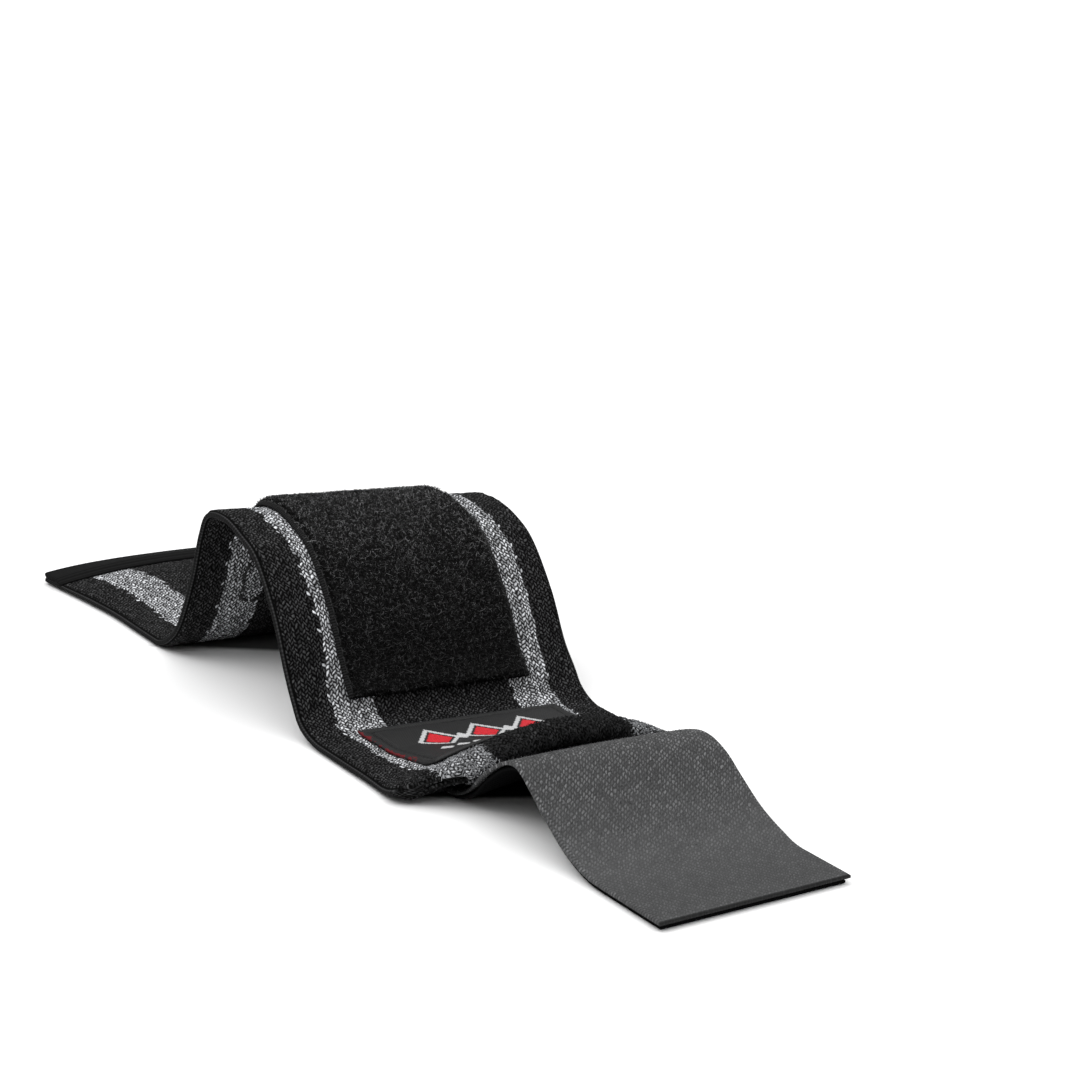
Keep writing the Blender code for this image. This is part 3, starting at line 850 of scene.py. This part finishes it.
def pile_material():
    m = Shade("loop_pile", roughness=0.9, specular=0.08)
    s, v = m.layout()[:2]
    curls = m.noise(m.place, 2.6, 4.0)
    clumps = m.noise(m.place, 0.35, 2.0)
    beside = m.math("SUBTRACT", PANEL_WIDTH / MM / 2, m.math("ABSOLUTE", v))
    body = m.ramp(beside, PANEL_EDGE / MM - 0.6, PANEL_EDGE / MM + 0.2)
    rib = m.ramp(m.wave(s, 0.62), -1.0, 1.0, 0.1, 2.2)
    tone = m.vary(m.ramp(curls, 0.42, 0.68, 0.15, 1.0), clumps, 0.6, 0.7)
    pile = m.scale(grey(PILE_BLACK), tone)
    edge = m.scale(grey(PANEL_EDGE_BLACK), rib)
    m.colour(m.mix(body, edge, pile))
    m.bump(m.math("MULTIPLY", curls, m.math("MULTIPLY", body, 0.9)))
    return m.material


def fibre_material():
    m = Shade("pile_fibre", roughness=0.6, specular=0.15)
    shade, share = m.layout()[:2]
    tone = m.math("MULTIPLY_ADD", m.math("POWER", shade, 5.0), 15.0, 0.1)
    # Painted light and shade: the fibres are brighter up to the middle of the panel and darker towards its
    # front end
    tone = m.math("MULTIPLY", tone, m.ramp(share, 0.45, 0.95, 1.15, 0.38))
    m.colour(m.scale(grey(FIBRE_BLACK), tone))
    return m.material


def fuzz_material():
    m = Shade("knit_fuzz", roughness=0.8, specular=0.05)
    shade, pale = m.layout()[:2]
    tone = m.math("MULTIPLY_ADD", shade, 1.4, 0.2)
    m.colour(m.scale(m.mix(pale, grey(FUZZ_TONES[0]), grey(FUZZ_TONES[1], 2.0)), tone))
    return m.material


def label_material():
    m = Shade("woven_label", roughness=0.5, specular=0.22)
    s, v, inset = m.layout()
    row = m.math("MULTIPLY", m.math("FLOOR", m.math("DIVIDE", s, DESIGN_STEP)), DESIGN_STEP)
    pick = m.math("MULTIPLY", m.math("FLOOR", m.math("DIVIDE", v, DESIGN_STEP)), DESIGN_STEP)

    # Three large lozenges with red cores, small pale ones between them and a row of small ones in front
    from_middle = m.math("ABSOLUTE", pick)
    within = m.math("LESS_THAN", from_middle, DESIGN_HALF)
    aside = m.math("PINGPONG", m.math("ADD", pick, 4 * LOZENGE_STEP), LOZENGE_STEP / 2)
    back = m.apart(row, LOZENGE_ROW)
    large = m.lozenge(aside, back, LOZENGE_HALF)
    rim = m.math("MULTIPLY", m.math("LESS_THAN", large, 1.0), m.math("GREATER_THAN", large, 0.76))
    between = m.lozenge(m.math("SUBTRACT", LOZENGE_STEP / 2, aside), back, LINK_HALF)
    between = m.math("ADD", between, m.math("GREATER_THAN", from_middle, LOZENGE_STEP))
    beads = m.math("PINGPONG", m.math("ADD", pick, 8 * BEAD_STEP), BEAD_STEP / 2)
    small = m.lozenge(beads, m.apart(row, BEAD_ROW), BEAD_HALF)
    pale = m.math("MAXIMUM", rim, m.math("LESS_THAN", m.math("MINIMUM", between, small), 1.0))
    pale = m.math("MULTIPLY", pale, within)
    red = m.math("MULTIPLY", m.math("LESS_THAN", large, 0.62), within)

    # Red yarn that shows along the folded short edge
    fray = m.math("MULTIPLY_ADD", m.noise(m.place, 0.5, 4.0), 5.0, FRINGE_PLACE)
    rear_part = m.math("LESS_THAN", s, FRINGE_END)
    fringe = m.math("MULTIPLY", m.math("LESS_THAN", v, fray), rear_part)

    twill = m.math("SINE", m.math("MULTIPLY", m.math("MULTIPLY_ADD", v, 0.6, s), 2 * math.pi / 0.55))
    grain = m.noise(m.vector(m.math("MULTIPLY", s, 0.6), m.math("MULTIPLY", v, 3.0)), 1.6, 3.0)
    tone = m.vary(m.ramp(twill, -1.0, 1.0, 0.72, 1.1), grain, 0.8, 0.6)
    seam = m.ramp(m.apart(inset, LABEL_SEAM / MM), 0.1, 0.7, 0.35, 1.0)
    ground = m.mix(red, grey(LABEL_BLACK), LABEL_RED)
    ground = m.mix(pale, ground, grey(LABEL_PALE, 0.5))
    ground = m.mix(fringe, ground, FRINGE_RED)
    m.colour(m.scale(m.scale(ground, tone), seam))
    raised = m.math("MULTIPLY", m.math("MAXIMUM", red, pale), 0.14)
    m.bump(m.math("ADD", raised, m.math("MULTIPLY", twill, 0.03)))
    return m.material


def tape_material(half):
    """half is half the tape's length, in millimetres."""
    m = Shade("hook_tape", roughness=0.6, specular=0.2)
    s, v, inset = m.layout()
    slanted = m.math("MULTIPLY_ADD", s, HOOK_SLANT, v)
    warp = m.wave(slanted, HOOK_ROW / MM / 2)
    weave = m.math("MULTIPLY_ADD", warp, 0.5, m.math("MULTIPLY", m.wave(s, 0.8), 0.3))

    # Staggered dashes where the hooks stand, flatter towards the tip
    wander = m.math("MULTIPLY_ADD", m.noise(m.place, 0.55, 2.0), 1.8, -0.9)
    lane = m.math("ADD", m.math("DIVIDE", slanted, HOOK_ROW / MM), wander)
    number = m.math("ROUND", lane)
    beside = m.math("DIVIDE", m.math("SUBTRACT", lane, number), 0.40)
    run = m.math("MULTIPLY_ADD", number, 0.5, m.math("DIVIDE", s, HOOK_STEP / MM))
    step = m.math("ROUND", run)
    ahead = m.math("DIVIDE", m.math("SUBTRACT", run, step), 0.40)
    chance = m.cell(m.vector(number, step))
    dash = m.dome(beside, ahead)
    strength = m.ramp(s, -10.0, 20.0, 1.0, 0.45)
    lift = m.math("SUBTRACT", m.vary(dash, chance, 1.3, 0.2), 0.5)
    tone = m.math("MULTIPLY_ADD", m.math("MULTIPLY", lift, strength), 1.15, 1.0)
    tone = m.math("MULTIPLY", tone, m.ramp(s, -5.0, half * 0.9, 1.22, 0.88))

    # Painted shade where it comes out from under the strap, and dark on its cut front edge
    covered = COVERED / MM - half
    tone = m.math("MULTIPLY", tone, m.ramp(s, covered - 1.0, covered + 0.8, 0.1, 1.0))
    tone = m.math("MULTIPLY", tone, m.ramp(s, half - 0.6, half - 0.1, 1.0, 0.12))

    tone = m.vary(tone, weave, 0.14, 1.0)
    tone = m.vary(tone, m.noise(m.place, 0.22, 3.0), 0.5, 0.75)
    tone = m.vary(tone, m.noise(m.place, 4.0, 2.0), 0.5, 0.75)
    rib = m.ramp(m.wave(s, 0.85), -1.0, 1.0, 0.7, 1.35)
    edge = m.math("LESS_THAN", inset, TAPE_SELVEDGE / MM)
    tone = m.vary(tone, m.math("SUBTRACT", rib, 1.0), edge, 1.0)
    m.colour(m.scale(grey(TAPE_GREY), tone))
    relief = m.math("MULTIPLY", m.math("MULTIPLY", dash, strength), 0.12)
    m.bump(m.math("MULTIPLY_ADD", weave, 0.05, relief))
    return m.material


def hook_material():
    m = Shade("hooks", roughness=0.45, specular=0.3)
    shade = m.layout()[0]
    m.colour(m.scale(grey(HOOK_GREY), m.math("MULTIPLY_ADD", shade, 0.9, 0.5)))
    return m.material


def backing_material():
    m = Shade("backing_cloth", roughness=0.95, specular=0.0)
    s, v = m.layout()[:2]
    weave = m.math("MULTIPLY", m.wave(v, 0.7), m.wave(s, 0.7))
    tone = m.math("MULTIPLY_ADD", weave, 0.3, m.math("MULTIPLY_ADD", m.noise(m.place, 1.5), 0.6, 0.6))
    m.colour(m.scale(grey(BACKING_BLACK), tone))
    m.bump(m.math("MULTIPLY", weave, 0.08))
    return m.material


def thread_material():
    m = Shade("black_thread", roughness=0.6, specular=0.25)
    m.colour(grey(THREAD_BLACK))
    return m.material


def table_material():
    m = Shade("pale_table", roughness=0.9, specular=0.0)
    where = m.node("ShaderNodeTexCoord").outputs["Object"]
    x, y = m.node("ShaderNodeSeparateXYZ", {"Vector": where}).outputs[:2]
    far = m.ramp(y, SHADE_FADE[1], SHADE_FADE[0])
    colour = (TABLE_ALBEDO, TABLE_ALBEDO, TABLE_ALBEDO, 1.0)
    for start, end, edge, slope, albedo in SHADED_SPOTS:
        line = m.math("MULTIPLY_ADD", m.math("SUBTRACT", x, start), slope, edge)
        beyond = m.math("SUBTRACT", y, line)
        shaded = far
        for limit in (m.ramp(x, start - SHADE_SOFT, start + SHADE_SOFT),
                      m.ramp(x, end + SHADE_SOFT, end - SHADE_SOFT),
                      m.ramp(beyond, -SHADE_SOFT, SHADE_SOFT * 3)):
            shaded = m.math("MULTIPLY", shaded, limit)
        colour = m.mix(shaded, colour, (albedo, albedo, albedo, 1.0))
    m.colour(colour)
    return m.material


# Stage

def make_stage():
    mesh = bpy.data.meshes.new("table")
    corners = [(x * TABLE_REACH, y * TABLE_REACH, 0) for x, y in ((-1, -1), (1, -1), (1, 1), (-1, 1))]
    mesh.from_pydata(corners, [], [(0, 1, 2, 3)])
    table = bpy.data.objects.new("table", mesh)
    bpy.context.collection.objects.link(table)
    mesh.materials.append(table_material())
    table.location.z = -TABLE_DROP


def area_light(name, at, size, power):
    light = bpy.data.lights.new(name, "AREA")
    light.shape = "DISK"
    light.size = size
    light.energy = power
    obj = bpy.data.objects.new(name, light)
    bpy.context.collection.objects.link(obj)
    obj.location = at
    obj.rotation_euler = (-Vector(at)).to_track_quat("-Z", "Y").to_euler()


def make_lights():
    """A wide white ceiling of light, dimmer towards the sides, and one softer lamp from the front left."""
    world = bpy.data.worlds.new("studio")
    bpy.context.scene.world = world
    world.use_nodes = True
    tree = world.node_tree
    direction = tree.nodes.new("ShaderNodeTexCoord").outputs["Generated"]
    split = tree.nodes.new("ShaderNodeSeparateXYZ")
    tree.links.new(direction, split.inputs[0])
    rise = tree.nodes.new("ShaderNodeMapRange")
    rise.interpolation_type = "SMOOTHSTEP"
    for key, value in zip(("From Min", "From Max"), LIGHT_GROWS):
        rise.inputs[key].default_value = value
    rise.inputs["To Min"].default_value = SIDE_LIGHT
    rise.inputs["To Max"].default_value = CEILING_LIGHT
    tree.links.new(split.outputs["Z"], rise.inputs["Value"])
    tree.links.new(rise.outputs["Result"], tree.nodes["Background"].inputs["Strength"])
    tree.nodes["Background"].inputs["Color"].default_value = (1.0, 1.0, 1.0, 1.0)
    area_light("key", KEY_AT, KEY_SIZE, KEY_POWER)
    bpy.context.scene.view_settings.view_transform = "Standard"


def make_camera():
    azimuth, pitch, roll = CAMERA_AZIMUTH, CAMERA_PITCH, CAMERA_ROLL
    level = math.cos(pitch)
    ahead = Vector((-math.sin(azimuth) * level, math.cos(azimuth) * level, -math.sin(pitch)))
    right = Vector((math.cos(azimuth), math.sin(azimuth), 0.0))
    up = right.cross(ahead)
    x = math.cos(roll) * right + math.sin(roll) * up
    y = math.cos(roll) * up - math.sin(roll) * right
    camera = bpy.data.objects.new("camera", bpy.data.cameras.new("camera"))
    camera.data.lens = CAMERA_LENS
    camera.data.sensor_width = CAMERA_FILM
    camera.data.clip_end = CAMERA_REACH
    camera.matrix_world = Matrix.Translation(CAMERA_AT) @ Matrix((x, y, -ahead)).transposed().to_4x4()
    bpy.context.collection.objects.link(camera)
    bpy.context.scene.camera = camera


def dress():
    strap_lay = LayLine(STRAP_FOLDS, WAVE_RISE, STRAP_THICK, strap_half_width)
    tab_lay = LayLine(TAB_FOLDS, HUMP_RISE, TAB_THICK, lambda s: TAB_WIDTH / 2)
    thread = thread_material()

    strap = make_strap(strap_lay, knit_material())
    fuzz = make_fuzz(strap_lay, fuzz_material())
    panel = make_panel(strap_lay, pile_material())
    fibres = make_fibres(strap_lay, fibre_material())
    label = make_label(strap_lay, label_material())
    tape = make_tape(tab_lay, tape_material(tab_lay.length / 2 / MM))
    hooks = make_hooks(tab_lay, hook_material())
    backing = make_backing(tab_lay, backing_material())

    panel_seam = seam_stitches(PANEL_REAR, PANEL_FRONT, PANEL_WIDTH / 2, PANEL_SEAM)
    label_seam = seam_stitches(LABEL_REAR, LABEL_FRONT, LABEL_WIDTH / 2, LABEL_SEAM)
    under = -STRAP_THICK / 2
    shift = np.random.default_rng(29).normal(0, 0.35 * MM, panel_seam.shape)
    panel_above = make_stitches("panel_stitches", strap_lay, panel_seam, ON_STRAP + PANEL_EDGE_THICK, 1,
                                0.16 * MM, thread)
    panel_under = make_stitches("panel_stitches_under", strap_lay, panel_seam + shift, under, -1,
                                0.45 * MM, thread)
    label_above = make_stitches("label_stitches", strap_lay, label_seam, ON_STRAP + LABEL_THICK * 0.58, 1,
                                0.15 * MM, thread)
    label_under = make_stitches("label_stitches_under", strap_lay, label_seam, under, -1,
                                0.25 * MM, thread)

    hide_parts("strap")
    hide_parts("loop_panel")
    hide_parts("label")
    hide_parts("hook_tape")
    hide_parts("tab_backing")


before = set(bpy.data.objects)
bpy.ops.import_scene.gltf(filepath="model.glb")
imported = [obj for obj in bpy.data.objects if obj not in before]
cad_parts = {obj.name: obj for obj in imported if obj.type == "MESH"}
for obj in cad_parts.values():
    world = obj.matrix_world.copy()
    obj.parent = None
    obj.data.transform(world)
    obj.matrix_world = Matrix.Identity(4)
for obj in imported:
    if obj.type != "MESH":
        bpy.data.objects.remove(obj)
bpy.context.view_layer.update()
make_stage()
make_lights()
make_camera()
dress()
bpy.context.view_layer.update()
